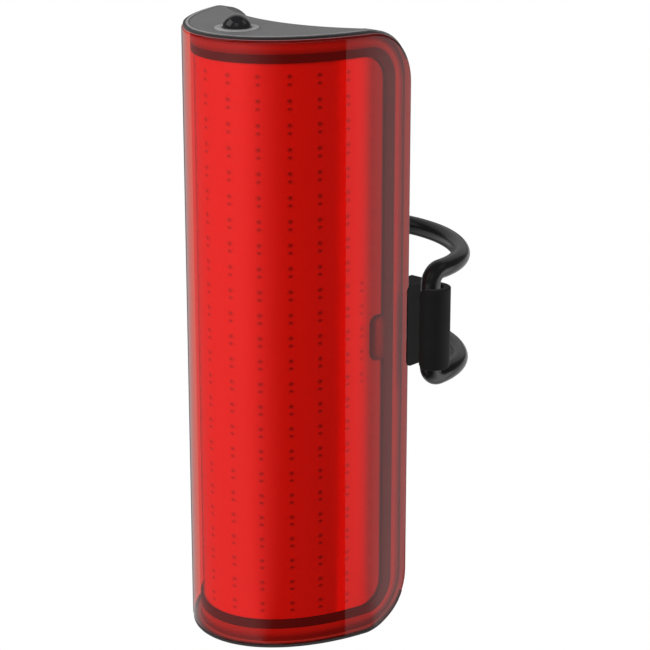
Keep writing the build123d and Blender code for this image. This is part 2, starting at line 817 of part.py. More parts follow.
# Rubber grip pad that meets the post
pad_reach = 2 * bore_radius
pad_angle = math.radians(grip_pad_half_angle)
with BuildPart() as cradle_pad:
    with BuildSketch(level(cradle_height - grip_pad_length / 2)):
        with Locations((0, post_y)):
            Circle(pad_outer_radius)
            Circle(post_radius, mode=Mode.SUBTRACT)
            with BuildLine():
                Polyline((0, 0), (-pad_reach * math.sin(pad_angle), -pad_reach * math.cos(pad_angle)),
                         (pad_reach * math.sin(pad_angle), -pad_reach * math.cos(pad_angle)), close=True)
        make_face(mode=Mode.INTERSECT)
    extrude(amount=grip_pad_length)
cradle_pad.part.label = "cradle_pad"

# Strap, one closed ring with a leg in each hook and two strands behind the post
strap_leg_low = arm_low + base_z
strap_leg_high = strap_leg_low + arm_height
strap_leg_y = tip_y + strap_y
strap_start_y = strap_leg_y + strap_bend_radius
strap_offset = strap_half_width - strap_side_radius
strap_rear_radius = ((strap_offset**2 + strap_reach**2 - strap_side_radius**2)
                     / (2 * (strap_reach - strap_side_radius)))
rear_middle = strap_reach - strap_rear_radius
joint_length = strap_rear_radius - strap_side_radius
joint_x = strap_rear_radius * strap_offset / joint_length
joint_y = rear_middle - strap_rear_radius * rear_middle / joint_length
side_angle = math.atan2(joint_y, joint_x - strap_offset) / 2
side_x = strap_offset + strap_side_radius * math.cos(side_angle)
side_y = strap_side_radius * math.sin(side_angle)
bend_offset = strap_bend_radius * math.sqrt(0.5)


def strand(z, middle_hand):
    """Centre line of one strand behind the post, from hand to hand."""
    y = strap_start_y
    ThreePointArc((middle_hand * strap_half_width, y, z), (middle_hand * side_x, y + side_y, z),
                  (middle_hand * joint_x, y + joint_y, z))
    ThreePointArc((middle_hand * joint_x, y + joint_y, z), (0, y + strap_reach, z),
                  (-middle_hand * joint_x, y + joint_y, z))
    ThreePointArc((-middle_hand * joint_x, y + joint_y, z), (-middle_hand * side_x, y + side_y, z),
                  (-middle_hand * strap_half_width, y, z))


def bend(x, upward):
    """Centre line of the bend between a leg and a strand."""
    end = strap_leg_high if upward else strap_leg_low
    turn = 1 if upward else -1
    ThreePointArc((x, strap_leg_y, end),
                  (x, strap_start_y - bend_offset, end + turn * bend_offset),
                  (x, strap_start_y, end + turn * strap_bend_radius))


with BuildPart() as strap:
    with BuildLine() as strap_route:
        for hand in (1, -1):
            Line((hand * strap_half_width, strap_leg_y, strap_leg_low),
                 (hand * strap_half_width, strap_leg_y, strap_leg_high))
            bend(hand * strap_half_width, True)
            bend(hand * strap_half_width, False)
        strand(strap_leg_high + strap_bend_radius, 1)
        strand(strap_leg_low - strap_bend_radius, -1)
    with BuildSketch(Plane(origin=(strap_half_width, strap_leg_y, 0))):
        Circle(strap_diameter / 2)
    sweep(path=strap_route.wires()[0])
strap.part.label = "strap"
strap_length = sum(edge.length for edge in strap_route.edges())
strap_area = math.pi * strap_diameter**2 / 4
print("strap volume over section times length:", strap.part.volume / (strap_area * strap_length))

pieces = [lens, rear_housing, lens_gasket, led_board, led_chips, heat_spreader, main_board, board_screws,
          driver_chip, thermal_pad, driver_coil, capacitors, tail_connector, board_tail, battery_cell,
          battery_pad, battery_tabs, socket_shell, socket_tongue, port_cover, port_cover_pin, button_dome,
          button_ring, button_seal, switch_board, switch_body, switch_plunger, status_leds, cradle,
          cradle_screws, cradle_pad, strap]
os.makedirs("parts", exist_ok=True)
for piece in pieces:
    export_step(piece.part, f"parts/{piece.part.label}.step")
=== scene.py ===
import math

import bmesh
import bpy
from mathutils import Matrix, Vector


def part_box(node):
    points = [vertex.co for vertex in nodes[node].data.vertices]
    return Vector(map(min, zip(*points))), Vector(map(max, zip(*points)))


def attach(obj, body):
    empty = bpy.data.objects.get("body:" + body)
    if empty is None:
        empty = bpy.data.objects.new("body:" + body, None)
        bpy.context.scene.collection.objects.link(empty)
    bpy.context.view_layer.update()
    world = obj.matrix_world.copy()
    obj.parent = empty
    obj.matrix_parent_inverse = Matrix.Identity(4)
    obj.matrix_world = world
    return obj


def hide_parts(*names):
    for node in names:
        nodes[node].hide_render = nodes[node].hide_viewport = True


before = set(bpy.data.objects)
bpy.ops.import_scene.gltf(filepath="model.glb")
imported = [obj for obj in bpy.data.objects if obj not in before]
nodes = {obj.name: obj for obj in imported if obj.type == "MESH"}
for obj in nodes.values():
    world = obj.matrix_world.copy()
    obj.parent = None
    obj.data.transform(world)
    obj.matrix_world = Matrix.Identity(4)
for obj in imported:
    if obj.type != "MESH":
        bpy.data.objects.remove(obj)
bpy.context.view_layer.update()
MM = 0.001

# Sizes read from the frame
lens_low, lens_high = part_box("lens")
plate_low, plate_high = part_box("rear_housing")
strap_low, strap_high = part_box("strap")
ring_low, ring_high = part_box("button_ring")
dome_low, dome_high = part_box("button_dome")

TIP_Y = lens_high.y
HALF_WIDTH = lens_high.x
DEPTH = lens_high.y - lens_low.y
BASE_Z = plate_low.z
TOP_Z = plate_high.z

# Lens, with its edge rounding
LENS_WALL = 1.5 * MM
LENS_CORNER = 9.6 * MM
LENS_EDGE = 0.45 * MM
LENS_INNER_EDGE = 0.2 * MM
EDGE_GLOSS_STEPS = 3

# Camera, matched to the photograph, with its angles in degrees
CAMERA_AZIMUTH = 42.091
CAMERA_RISE = 17.908
CAMERA_DISTANCE = 408.742 * MM
CAMERA_TARGET = Vector((-0.113 * MM, TIP_Y, BASE_Z + 53.337 * MM))
CAMERA_LENS = 121.80
CAMERA_SHIFT_X = -0.00165
CAMERA_SHIFT_Y = -0.00048
CAMERA_NEAR = 10 * MM


def add_object(name, data):
    """A new object, linked to the scene."""
    item = bpy.data.objects.new(name, data)
    bpy.context.scene.collection.objects.link(item)
    return item


def make_piece(name, points, faces, material, body="light"):
    """A smooth mesh piece that rides on one body."""
    mesh = bpy.data.meshes.new(name)
    mesh.from_pydata([tuple(point) for point in points], [], faces)
    mesh.validate()
    shell = bmesh.new()
    shell.from_mesh(mesh)
    bmesh.ops.recalc_face_normals(shell, faces=shell.faces)
    shell.to_mesh(mesh)
    shell.free()
    for polygon in mesh.polygons:
        polygon.use_smooth = True
    piece = add_object(name, mesh)
    mesh.materials.append(material)
    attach(piece, body)
    return piece


# Sheets that follow the curved front

SHEET_ACROSS = 150
SHEET_UP = 90
SHEET_TURN = 16
ARC_STEPS = 1200
EDGE_ROUNDS = 5
LATHE_SIDES = 96


def skin_point(inset, angle, z):
    """A point on the curved front. The angle runs from the left horn to the right one."""
    x = -(HALF_WIDTH - inset) * math.cos(angle)
    y = TIP_Y - (DEPTH - inset) * math.sin(angle)
    return Vector((x, y, z))


def gap_angle(gap):
    """The angle of a point that lies a distance in front of the horn tips."""
    return math.asin(max(0.0, min(1.0, gap / DEPTH)))


def even_angles(first, count):
    """Angles at even steps of arc length round the front, from first to its mirror image."""
    span = math.pi - 2 * first
    lengths = [0.0]
    last = skin_point(0, first, 0)
    for step in range(1, ARC_STEPS + 1):
        here = skin_point(0, first + span * step / ARC_STEPS, 0)
        lengths.append(lengths[-1] + (here - last).length)
        last = here
    angles = []
    step = 0
    for index in range(count):
        goal = lengths[-1] * index / (count - 1)
        while step < ARC_STEPS - 1 and lengths[step + 1] < goal:
            step += 1
        part = (goal - lengths[step]) / (lengths[step + 1] - lengths[step])
        angles.append(first + span * (step + part) / ARC_STEPS)
    return angles


def outline_sides(low, high, gap, corner):
    """Four sides of a sheet's outline, as (angle, z), that meet half way round its corners."""
    half = SHEET_TURN // 2
    arc = []
    for index in range(SHEET_TURN + 1):
        phase = math.pi / 2 * index / SHEET_TURN
        arc.append((gap_angle(gap + corner * (1 - math.cos(phase))),
                    high - corner * (1 - math.sin(phase))))
    down = [(angle, low + high - z) for angle, z in arc]
    rise = high - low - 2 * corner
    straight = [(gap_angle(gap), low + corner + rise * step / SHEET_UP)
                for step in range(1, SHEET_UP)]
    left = down[half::-1] + straight + arc[:half + 1]
    along = [(angle, high) for angle in even_angles(arc[-1][0], SHEET_ACROSS)[1:-1]]
    over = arc[half:]
    top = over + along + [(math.pi - angle, z) for angle, z in reversed(over)]
    right = [(math.pi - angle, z) for angle, z in left]
    bottom = [(angle, low + high - z) for angle, z in top]
    return left, top, right, bottom


def outline_loop(sides, inset):
    """The closed outline of a sheet as points at one inset."""
    left, top, right, bottom = sides
    pairs = left + top[1:] + right[::-1][1:] + bottom[::-1][1:-1]
    return [skin_point(inset, angle, z) for angle, z in pairs]


def sheet_grid(sides, inset):
    """Points that fill an outline on the curved front, with the numbers of rows and columns."""
    left, top, right, bottom = sides
    rows, columns = len(left), len(top)
    points = []
    for row in range(rows):
        v = row / (rows - 1)
        for column in range(columns):
            u = column / (columns - 1)
            pair = []
            for axis in (0, 1):
                side = (1 - u) * left[row][axis] + u * right[row][axis]
                end = (1 - v) * bottom[column][axis] + v * top[column][axis]
                low_mix = (1 - u) * left[0][axis] + u * right[0][axis]
                high_mix = (1 - u) * left[-1][axis] + u * right[-1][axis]
                pair.append(side + end - (1 - v) * low_mix - v * high_mix)
            points.append(skin_point(inset, pair[0], pair[1]))
    return points, rows, columns


def grid_rim(rows, columns, start):
    """Indices of a grid's border, in the order of outline_loop."""
    left = [row * columns for row in range(rows)]
    top = [(rows - 1) * columns + column for column in range(1, columns)]
    right = [row * columns + columns - 1 for row in range(rows - 2, -1, -1)]
    bottom = list(range(columns - 2, 0, -1))
    return [start + index for index in left + top + right + bottom]


def grid_faces(rows, columns, start, outward):
    """Quads of a grid of points."""
    faces = []
    for row in range(rows - 1):
        for column in range(columns - 1):
            a = start + row * columns + column
            quad = (a, a + columns, a + columns + 1, a + 1)
            faces.append(quad[::-1] if outward else quad)
    return faces


def bridge(first, second):
    """Quads between two closed loops of indices."""
    count = len(first)
    return [(first[i], second[i], second[(i + 1) % count], first[(i + 1) % count])
            for i in range(count)]


def curved_sheet(low, high, gap, corner, inset, thickness, edge, inner_edge):
    """Closed solid of a curved sheet with rounded edges, as points and faces."""
    sides = outline_sides(low + edge, high - edge, gap + edge, corner - edge)
    outer, rows, columns = sheet_grid(sides, inset)
    points = list(outer)
    faces = grid_faces(rows, columns, 0, True)
    rim = grid_rim(rows, columns, 0)
    edge_start = len(faces) + EDGE_GLOSS_STEPS * len(rim)
    edge_end = len(faces) + 2 * EDGE_ROUNDS * len(rim)
    steps = []
    for step in range(1, EDGE_ROUNDS + 1):
        phase = math.pi / 2 * step / EDGE_ROUNDS
        steps.append((edge * (1 - math.sin(phase)), inset + edge * (1 - math.cos(phase))))
    for step in range(EDGE_ROUNDS):
        phase = math.pi / 2 * step / EDGE_ROUNDS
        steps.append((inner_edge * (1 - math.cos(phase)),
                      inset + thickness - inner_edge * (1 - math.sin(phase))))
    for drawn_in, depth in steps:
        sides = outline_sides(low + drawn_in, high - drawn_in, gap + drawn_in,
                              corner - drawn_in)
        start = len(points)
        loop = outline_loop(sides, depth)
        points += loop
        here = list(range(start, start + len(loop)))
        faces += bridge(rim, here)
        rim = here
    sides = outline_sides(low + inner_edge, high - inner_edge, gap + inner_edge,
                          corner - inner_edge)
    inner, rows, columns = sheet_grid(sides, inset + thickness)
    start = len(points)
    points += inner
    faces += grid_faces(rows, columns, start, False)
    faces += bridge(rim, grid_rim(rows, columns, start))
    return points, faces, edge_start, edge_end


def curved_band(outer, inner, inset, thickness):
    """Closed solid of a band between two outlines on the curved front."""
    points = []
    rims = []
    back = inset + thickness
    for box, depth in ((outer, inset), (outer, back), (inner, back), (inner, inset)):
        loop = outline_loop(outline_sides(*box), depth)
        rims.append(list(range(len(points), len(points) + len(loop))))
        points += loop
    faces = []
    for index in range(4):
        faces += bridge(rims[index], rims[(index + 1) % 4])
    return points, faces


def lathe(profile, middle):
    """A solid of revolution about an upright line.

    The profile's (radius, z) pairs start on the axis, or else close up into a ring.
    """
    points = []
    for radius, z in profile:
        for step in range(LATHE_SIDES):
            angle = 2 * math.pi * step / LATHE_SIDES
            points.append((middle[0] + radius * math.cos(angle),
                           middle[1] + radius * math.sin(angle), z))
    faces = []
    rings = len(profile)
    closed = profile[0][0] > 0 and profile[-1][0] > 0
    for ring in range(rings if closed else rings - 1):
        following = (ring + 1) % rings
        here = list(range(ring * LATHE_SIDES, (ring + 1) * LATHE_SIDES))
        there = list(range(following * LATHE_SIDES, (following + 1) * LATHE_SIDES))
        faces += bridge(there, here)
    return points, faces


# Materials


def new_material(name):
    """A node material and its tree."""
    material = bpy.data.materials.new(name)
    material.use_nodes = True
    return material, material.node_tree


def add_node(tree, kind, **settings):
    """A shader node with its settings."""
    node = tree.nodes.new(kind)
    for key, value in settings.items():
        setattr(node, key, value)
    return node


FINE_DETAIL = 3
BROAD_DETAIL = 2
BROAD_SHARE = 0.06
POLISH_SPREAD = 0.08
LEAST_ROUGHNESS = 0.02
COAT_ROUGHNESS = 0.05


def plastic(name, colour, roughness, grain, bump, spread=0.15, metallic=0.0, coat=0.0,
            stretch=(1, 1, 1), speckle=0.0):
    """A finish whose colour, roughness and surface vary with a fine grain. Grain is in metres."""
    material, tree = new_material(name)
    shader = tree.nodes["Principled BSDF"]
    place = add_node(tree, "ShaderNodeTexCoord")
    mapping = add_node(tree, "ShaderNodeMapping")
    mapping.inputs["Scale"].default_value = stretch
    fine = add_node(tree, "ShaderNodeTexNoise")
    fine.inputs["Scale"].default_value = 1 / grain
    fine.inputs["Detail"].default_value = FINE_DETAIL
    broad = add_node(tree, "ShaderNodeTexNoise")
    broad.inputs["Scale"].default_value = BROAD_SHARE / grain
    broad.inputs["Detail"].default_value = BROAD_DETAIL
    tree.links.new(place.outputs["Object"], mapping.inputs["Vector"])
    tree.links.new(mapping.outputs["Vector"], fine.inputs["Vector"])
    tree.links.new(mapping.outputs["Vector"], broad.inputs["Vector"])
    tone = add_node(tree, "ShaderNodeMix", data_type="RGBA")
    dark = tuple(channel * (1 - spread) for channel in colour)
    light = tuple(min(1.0, channel * (1 + spread)) for channel in colour)
    tone.inputs["A"].default_value = (*dark, 1)
    tone.inputs["B"].default_value = (*light, 1)
    blend = add_node(tree, "ShaderNodeMix", data_type="FLOAT")
    blend.inputs["Factor"].default_value = speckle
    tree.links.new(broad.outputs["Fac"], blend.inputs["A"])
    tree.links.new(fine.outputs["Fac"], blend.inputs["B"])
    tree.links.new(blend.outputs["Result"], tone.inputs["Factor"])
    tree.links.new(tone.outputs["Result"], shader.inputs["Base Color"])
    polish = add_node(tree, "ShaderNodeMapRange")
    polish.inputs["To Min"].default_value = max(LEAST_ROUGHNESS, roughness - POLISH_SPREAD)
    polish.inputs["To Max"].default_value = min(1.0, roughness + POLISH_SPREAD)
    tree.links.new(fine.outputs["Fac"], polish.inputs["Value"])
    tree.links.new(polish.outputs["Result"], shader.inputs["Roughness"])
    relief = add_node(tree, "ShaderNodeBump")
    relief.inputs["Strength"].default_value = 1.0
    relief.inputs["Distance"].default_value = bump
    tree.links.new(fine.outputs["Fac"], relief.inputs["Height"])
    tree.links.new(relief.outputs["Normal"], shader.inputs["Normal"])
    shader.inputs["Metallic"].default_value = metallic
    shader.inputs["Coat Weight"].default_value = coat
    shader.inputs["Coat Roughness"].default_value = COAT_ROUGHNESS
    return material


FILM_COLOUR = (0.93, 0.12, 0.08)
FILM_ROUGHNESS = 0.16


def red_gloss(material, share):
    """Lay a red mirror film over a finish, in a fixed share."""
    tree = material.node_tree
    output = tree.nodes["Material Output"]
    film = add_node(tree, "ShaderNodeBsdfGlossy")
    film.inputs["Color"].default_value = (*FILM_COLOUR, 1)
    film.inputs["Roughness"].default_value = FILM_ROUGHNESS
    mix = add_node(tree, "ShaderNodeMixShader")
    mix.inputs["Fac"].default_value = share
    tree.links.new(tree.nodes["Principled BSDF"].outputs["BSDF"], mix.inputs[1])
    tree.links.new(film.outputs["BSDF"], mix.inputs[2])
    tree.links.new(mix.outputs["Shader"], output.inputs["Surface"])


def paint_rear_light_and_shade(material, colour, start, full, share=None):
    """Change a finish towards the rear ends of the curved front, as painted light where the colour
    is lighter and painted shade where it is darker.

    The start and the full change are distances in front of the horn tips.
    """
    tree = material.node_tree
    shader = tree.nodes["Principled BSDF"]
    tone = shader.inputs["Base Color"].links[0].from_socket
    place = add_node(tree, "ShaderNodeTexCoord")
    parts = add_node(tree, "ShaderNodeSeparateXYZ")
    tree.links.new(place.outputs["Object"], parts.inputs["Vector"])
    ramp = add_node(tree, "ShaderNodeMapRange", interpolation_type="SMOOTHSTEP")
    ramp.inputs["From Min"].default_value = TIP_Y - start
    ramp.inputs["From Max"].default_value = TIP_Y - full
    tree.links.new(parts.outputs["Y"], ramp.inputs["Value"])
    mix = add_node(tree, "ShaderNodeMix", data_type="RGBA")
    mix.inputs["B"].default_value = (*colour, 1)
    tree.links.new(ramp.outputs["Result"], mix.inputs["Factor"])
    tree.links.new(tone, mix.inputs["A"])
    tree.links.new(mix.outputs["Result"], shader.inputs["Base Color"])
    if share is None:
        return
    film = tree.nodes["Mix Shader"]
    gloss = add_node(tree, "ShaderNodeMapRange")
    gloss.inputs["To Min"].default_value = film.inputs["Fac"].default_value
    gloss.inputs["To Max"].default_value = share
    tree.links.new(ramp.outputs["Result"], gloss.inputs["Value"])
    tree.links.new(gloss.outputs["Result"], film.inputs["Fac"])


def darken_core(material, colour, start, full):
    """Darken a finish towards the middle of each piece, by the mesh's core attribute."""
    tree = material.node_tree
    shader = tree.nodes["Principled BSDF"]
    tone = shader.inputs["Base Color"].links[0].from_socket
    core = add_node(tree, "ShaderNodeAttribute", attribute_name="core")
    ramp = add_node(tree, "ShaderNodeMapRange", interpolation_type="SMOOTHSTEP")
    ramp.inputs["From Min"].default_value = start
    ramp.inputs["From Max"].default_value = full
    tree.links.new(core.outputs["Fac"], ramp.inputs["Value"])
    mix = add_node(tree, "ShaderNodeMix", data_type="RGBA")
    mix.inputs["B"].default_value = (*colour, 1)
    tree.links.new(ramp.outputs["Result"], mix.inputs["Factor"])
    tree.links.new(tone, mix.inputs["A"])
    tree.links.new(mix.outputs["Result"], shader.inputs["Base Color"])


LENS_TINT = (0.97, 0.31, 0.23)
LENS_BODY = (0.80, 0.03, 0.02)
LENS_BODY_ROUGHNESS = 0.35
LENS_GLOSS_ROUGHNESS = 0.03
SLANT_POWER = 5.0
SLANT_DEPTH = 1.15
SLANT_TINT = (0.10, 0.04, 0.04)
FACING_MIRROR = 0.035


def tinted_clear(name, body_share, mirrors):
    """Clear tinted plastic, whose outer surface mirrors more and lets through less at a slant."""
    material, tree = new_material(name)
    shader = tree.nodes["Principled BSDF"]
    output = tree.nodes["Material Output"]
    clear = add_node(tree, "ShaderNodeBsdfTransparent")
    clear.inputs["Color"].default_value = (*LENS_TINT, 1)
    shader.inputs["Base Color"].default_value = (*LENS_BODY, 1)
    shader.inputs["Roughness"].default_value = LENS_BODY_ROUGHNESS
    shader.inputs["Specular IOR Level"].default_value = 0.0
    gloss = add_node(tree, "ShaderNodeBsdfGlossy")
    gloss.inputs["Roughness"].default_value = LENS_GLOSS_ROUGHNESS
    inside = add_node(tree, "ShaderNodeMixShader")
    inside.inputs["Fac"].default_value = body_share
    tree.links.new(clear.outputs["BSDF"], inside.inputs[1])
    tree.links.new(shader.outputs["BSDF"], inside.inputs[2])
    if not mirrors:
        tree.links.new(inside.outputs["Shader"], output.inputs["Surface"])
        return material
    slope = add_node(tree, "ShaderNodeLayerWeight")
    slope.inputs["Blend"].default_value = 0.5
    power = add_node(tree, "ShaderNodeMath", operation="POWER")
    power.inputs[1].default_value = SLANT_POWER
    tree.links.new(slope.outputs["Facing"], power.inputs[0])
    depth = add_node(tree, "ShaderNodeMath", operation="MULTIPLY", use_clamp=True)
    depth.inputs[1].default_value = SLANT_DEPTH
    tree.links.new(power.outputs["Value"], depth.inputs[0])
    absorb = add_node(tree, "ShaderNodeMix", data_type="RGBA")
    absorb.inputs["A"].default_value = (*LENS_TINT, 1)
    absorb.inputs["B"].default_value = (*SLANT_TINT, 1)
    tree.links.new(depth.outputs["Value"], absorb.inputs["Factor"])
    tree.links.new(absorb.outputs["Result"], clear.inputs["Color"])
    mirror = add_node(tree, "ShaderNodeMapRange")
    mirror.inputs["To Min"].default_value = FACING_MIRROR
    tree.links.new(power.outputs["Value"], mirror.inputs["Value"])
    facing = add_node(tree, "ShaderNodeNewGeometry")
    front = add_node(tree, "ShaderNodeMath", operation="SUBTRACT")
    front.inputs[0].default_value = 1.0
    tree.links.new(facing.outputs["Backfacing"], front.inputs[1])
    outward = add_node(tree, "ShaderNodeMath", operation="MULTIPLY")
    tree.links.new(mirror.outputs["Result"], outward.inputs[0])
    tree.links.new(front.outputs["Value"], outward.inputs[1])
    surface = add_node(tree, "ShaderNodeMixShader")
    tree.links.new(outward.outputs["Value"], surface.inputs["Fac"])
    tree.links.new(inside.outputs["Shader"], surface.inputs[1])
    tree.links.new(gloss.outputs["BSDF"], surface.inputs[2])
    tree.links.new(surface.outputs["Shader"], output.inputs["Surface"])
    return material


red_lens = tinted_clear("red_lens", 0.04, True)
red_lens_inside = tinted_clear("red_lens_inside", 0.02, False)
lens_edge = plastic("lens_edge", (0.30, 0.12, 0.13), 0.45, 0.5 * MM, 0.004 * MM)
housing_plastic = plastic("housing_plastic", (0.140, 0.138, 0.139), 0.55, 0.42 * MM, 0.04 * MM,
                          spread=0.55, speckle=0.85)
# A light grey for the top plate's border strip: a painted highlight on the plate's edge.
rim_painted_highlight = plastic("rim_painted_highlight", (0.26, 0.255, 0.255), 0.40, 0.30 * MM, 0.01 * MM)
# A near-black for the strips round the lens and in the top plate's groove: painted shade.
rim_painted_shade = plastic("rim_painted_shade", (0.016, 0.012, 0.012), 0.50, 0.30 * MM, 0.005 * MM)
bond_film = plastic("bond_film", (0.34, 0.28, 0.28), 0.40, 1.2 * MM, 0.002 * MM)
# Painted light: the bond film turns lighter towards the rear ends of the curved front.
paint_rear_light_and_shade(bond_film, (0.42, 0.40, 0.40), 8.0 * MM, 2.0 * MM)
tab_maroon = plastic("tab_maroon", (0.13, 0.10, 0.10), 0.5, 0.4 * MM, 0.002 * MM)
tab_light = plastic("tab_light", (0.19, 0.15, 0.15), 0.4, 0.4 * MM, 0.002 * MM)
black_rubber = plastic("black_rubber", (0.030, 0.028, 0.028), 0.55, 0.35 * MM, 0.01 * MM)
BOARD_GLOSS = 0.48
BOARD_COLOUR = (0.93, 0.45, 0.30)
board_red = plastic("board_red", BOARD_COLOUR, 0.16, 2.5 * MM, 0.001 * MM, spread=0.04)
led_dark = plastic("led_dark", BOARD_COLOUR, 0.16, 0.4 * MM, 0.0005 * MM, spread=0.04)
for shown in (board_red, led_dark):
    red_gloss(shown, BOARD_GLOSS)
    # Painted shade: the board and its dies turn dull and dark towards the rear ends, and their red
    # mirror film thins there.
    paint_rear_light_and_shade(shown, (0.17, 0.15, 0.13), 11.2 * MM, 7.0 * MM, 0.10)
darken_core(led_dark, (0.16, 0.05, 0.03), 0.0, 1.1)
aluminium = plastic("aluminium", (0.75, 0.75, 0.76), 0.30, 0.3 * MM, 0.004 * MM, metallic=1.0,
                    stretch=(1, 1, 0.05))
circuit_board = plastic("circuit_board", (0.02, 0.17, 0.07), 0.35, 0.6 * MM, 0.006 * MM)
steel = plastic("steel", (0.62, 0.62, 0.61), 0.28, 0.3 * MM, 0.003 * MM, metallic=1.0,
                stretch=(1, 0.1, 1))
chip_black = plastic("chip_black", (0.03, 0.03, 0.03), 0.5, 0.2 * MM, 0.006 * MM)
pad_grey = plastic("pad_grey", (0.38, 0.40, 0.43), 0.75, 0.3 * MM, 0.02 * MM)
ceramic = plastic("ceramic", (0.55, 0.42, 0.28), 0.35, 0.3 * MM, 0.003 * MM)
white_plastic = plastic("white_plastic", (0.82, 0.82, 0.79), 0.4, 0.3 * MM, 0.003 * MM, spread=0.04)
amber_film = plastic("amber_film", (0.55, 0.25, 0.05), 0.25, 0.5 * MM, 0.002 * MM)
battery_foil = plastic("battery_foil", (0.70, 0.71, 0.73), 0.25, 1.5 * MM, 0.05 * MM, metallic=0.9)
gloss_black = plastic("gloss_black", (0.008, 0.008, 0.009), 0.10, 0.6 * MM, 0.001 * MM, coat=0.6)
ring_grey = plastic("ring_grey", (0.27, 0.27, 0.27), 0.35, 0.2 * MM, 0.003 * MM, spread=0.06)
cradle_plastic = plastic("cradle_plastic", (0.007, 0.007, 0.007), 0.60, 0.22 * MM, 0.012 * MM)
strap_silicone = plastic("strap_silicone", (0.006, 0.006, 0.006), 0.24, 0.5 * MM, 0.002 * MM)
for dull, level in ((cradle_plastic, 0.12), (strap_silicone, 0.32)):
    shader = dull.node_tree.nodes["Principled BSDF"]
    shader.inputs["Specular IOR Level"].default_value = level

NODE_FINISH = {
    "rear_housing": housing_plastic, "lens_gasket": black_rubber, "led_board": board_red,
    "heat_spreader": aluminium, "main_board": circuit_board, "board_screws": steel,
    "driver_chip": chip_black, "thermal_pad": pad_grey, "driver_coil": chip_black,
    "capacitors": ceramic, "tail_connector": white_plastic, "board_tail": amber_film,
    "battery_cell": battery_foil, "battery_pad": pad_grey, "battery_tabs": steel,
    "socket_shell": steel, "socket_tongue": chip_black, "port_cover": black_rubber,
    "port_cover_pin": steel, "button_seal": black_rubber, "switch_board": circuit_board,
    "switch_body": chip_black, "switch_plunger": white_plastic, "status_leds": white_plastic,
    "cradle": cradle_plastic, "cradle_screws": steel, "cradle_pad": black_rubber,
}
nodes["cradle"].visible_glossy = False
for node_name, finish in NODE_FINISH.items():
    mesh = nodes[node_name].data
    mesh.materials.clear()
    mesh.materials.append(finish)

# Lens
points, faces, edge_start, edge_end = curved_sheet(
    lens_low.z, lens_high.z, 0.0, LENS_CORNER, 0.0, LENS_WALL, LENS_EDGE, LENS_INNER_EDGE)
lens = make_piece("clear_lens", points, faces, red_lens)
lens.data.materials.append(lens_edge)
lens.data.materials.append(red_lens_inside)
for polygon in lens.data.polygons:
    if polygon.index >= edge_end:
        polygon.material_index = 2
    elif polygon.index >= edge_start:
        polygon.material_index = 1
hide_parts("lens")

# LED dies, two on each chip
LED_ROWS = 24
LED_ROW_PITCH = 4.22 * MM
LED_FIRST_ROW = 7.2 * MM
LED_COLUMN_ARCS = (2.7, 8.1, 13.5, 18.8, 24.2, 29.5)
LED_SIDE_STEP = 2.35 * MM
LED_INSET = 2.05 * MM
DIE_HEIGHT = 0.03 * MM
DIE_SPACING = 1.38 * MM
UPPER_DIE = (0.78 * MM, 0.68 * MM)
LOWER_DIE = (0.74 * MM, 0.54 * MM)
TAB_MIDDLE = 56.2 * MM
TAB_ZONE = 10.2 * MM
DIE_SIDES = 14
DIE_RINGS = 5
ARC_STEP = math.pi / 3200


def arc_frame(arc):
    """Point, outward direction and direction along the board at an arc length from its middle."""
    angle = math.pi / 2
    travelled = 0.0
    hand = 1 if arc > 0 else -1
    last = skin_point(LED_INSET, angle, 0)
    while travelled < abs(arc):
        angle += hand * ARC_STEP
        here = skin_point(LED_INSET, angle, 0)
        travelled += (here - last).length
        last = here
    along = Vector(((HALF_WIDTH - LED_INSET) * math.sin(angle),
                    -(DEPTH - LED_INSET) * math.cos(angle), 0)).normalized()
    return last, Vector((along.y, -along.x, 0)), along


def add_die(points, faces, cores, middle, size, along, outward):
    """One flat elliptic disc, with its core attribute rising from its rim to its middle."""
    start = len(points)
    for ring in range(DIE_RINGS):
        shrink = min(1.0, (DIE_RINGS - ring) / (DIE_RINGS - 1))
        rise = outward * (DIE_HEIGHT if ring else 0.0)
        for side in range(DIE_SIDES):
            turn = 2 * math.pi * side / DIE_SIDES
            points.append(middle + along * size[0] * shrink * math.cos(turn)
                          + Vector((0, 0, size[1] * shrink * math.sin(turn))) + rise)
            cores.append(1 - shrink)
    points.append(middle + outward * DIE_HEIGHT)
    cores.append(1.0)
    for ring in range(DIE_RINGS - 1):
        first = [start + ring * DIE_SIDES + side for side in range(DIE_SIDES)]
        faces.extend(bridge(first, [index + DIE_SIDES for index in first]))
    tip = start + DIE_RINGS * DIE_SIDES
    last = tip - DIE_SIDES
    for side in range(DIE_SIDES):
        faces.append((last + side, tip, last + (side + 1) % DIE_SIDES))
    faces.append(tuple(start + side for side in range(DIE_SIDES)))


def led_dies():
    """All the dies, two on each chip, with the outer column moved in beside the tabs."""
    points, faces, cores = [], [], []
    for column in LED_COLUMN_ARCS:
        outer = column == LED_COLUMN_ARCS[-1]
        for hand in (-1, 1):
            for row in range(LED_ROWS):
                z = LED_FIRST_ROW + row * LED_ROW_PITCH
                beside = outer and abs(z - TAB_MIDDLE) < TAB_ZONE
                place, outward, along = arc_frame(
                    hand * (column * MM - (LED_SIDE_STEP if beside else 0)))
                for lift, size in ((-0.5, LOWER_DIE), (0.5, UPPER_DIE)):
                    middle = place + Vector((0, 0, BASE_Z + z + lift * DIE_SPACING))
                    add_die(points, faces, cores, middle, size, along, outward)
    return points, faces, cores


points, faces, cores = led_dies()
dies = make_piece("led_dies", points, faces, led_dark)
for polygon in dies.data.polygons:
    polygon.use_smooth = False
core_tone = dies.data.attributes.new("core", "FLOAT", "POINT")
for index, core in enumerate(cores):
    core_tone.data[index].value = core
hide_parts("led_chips")

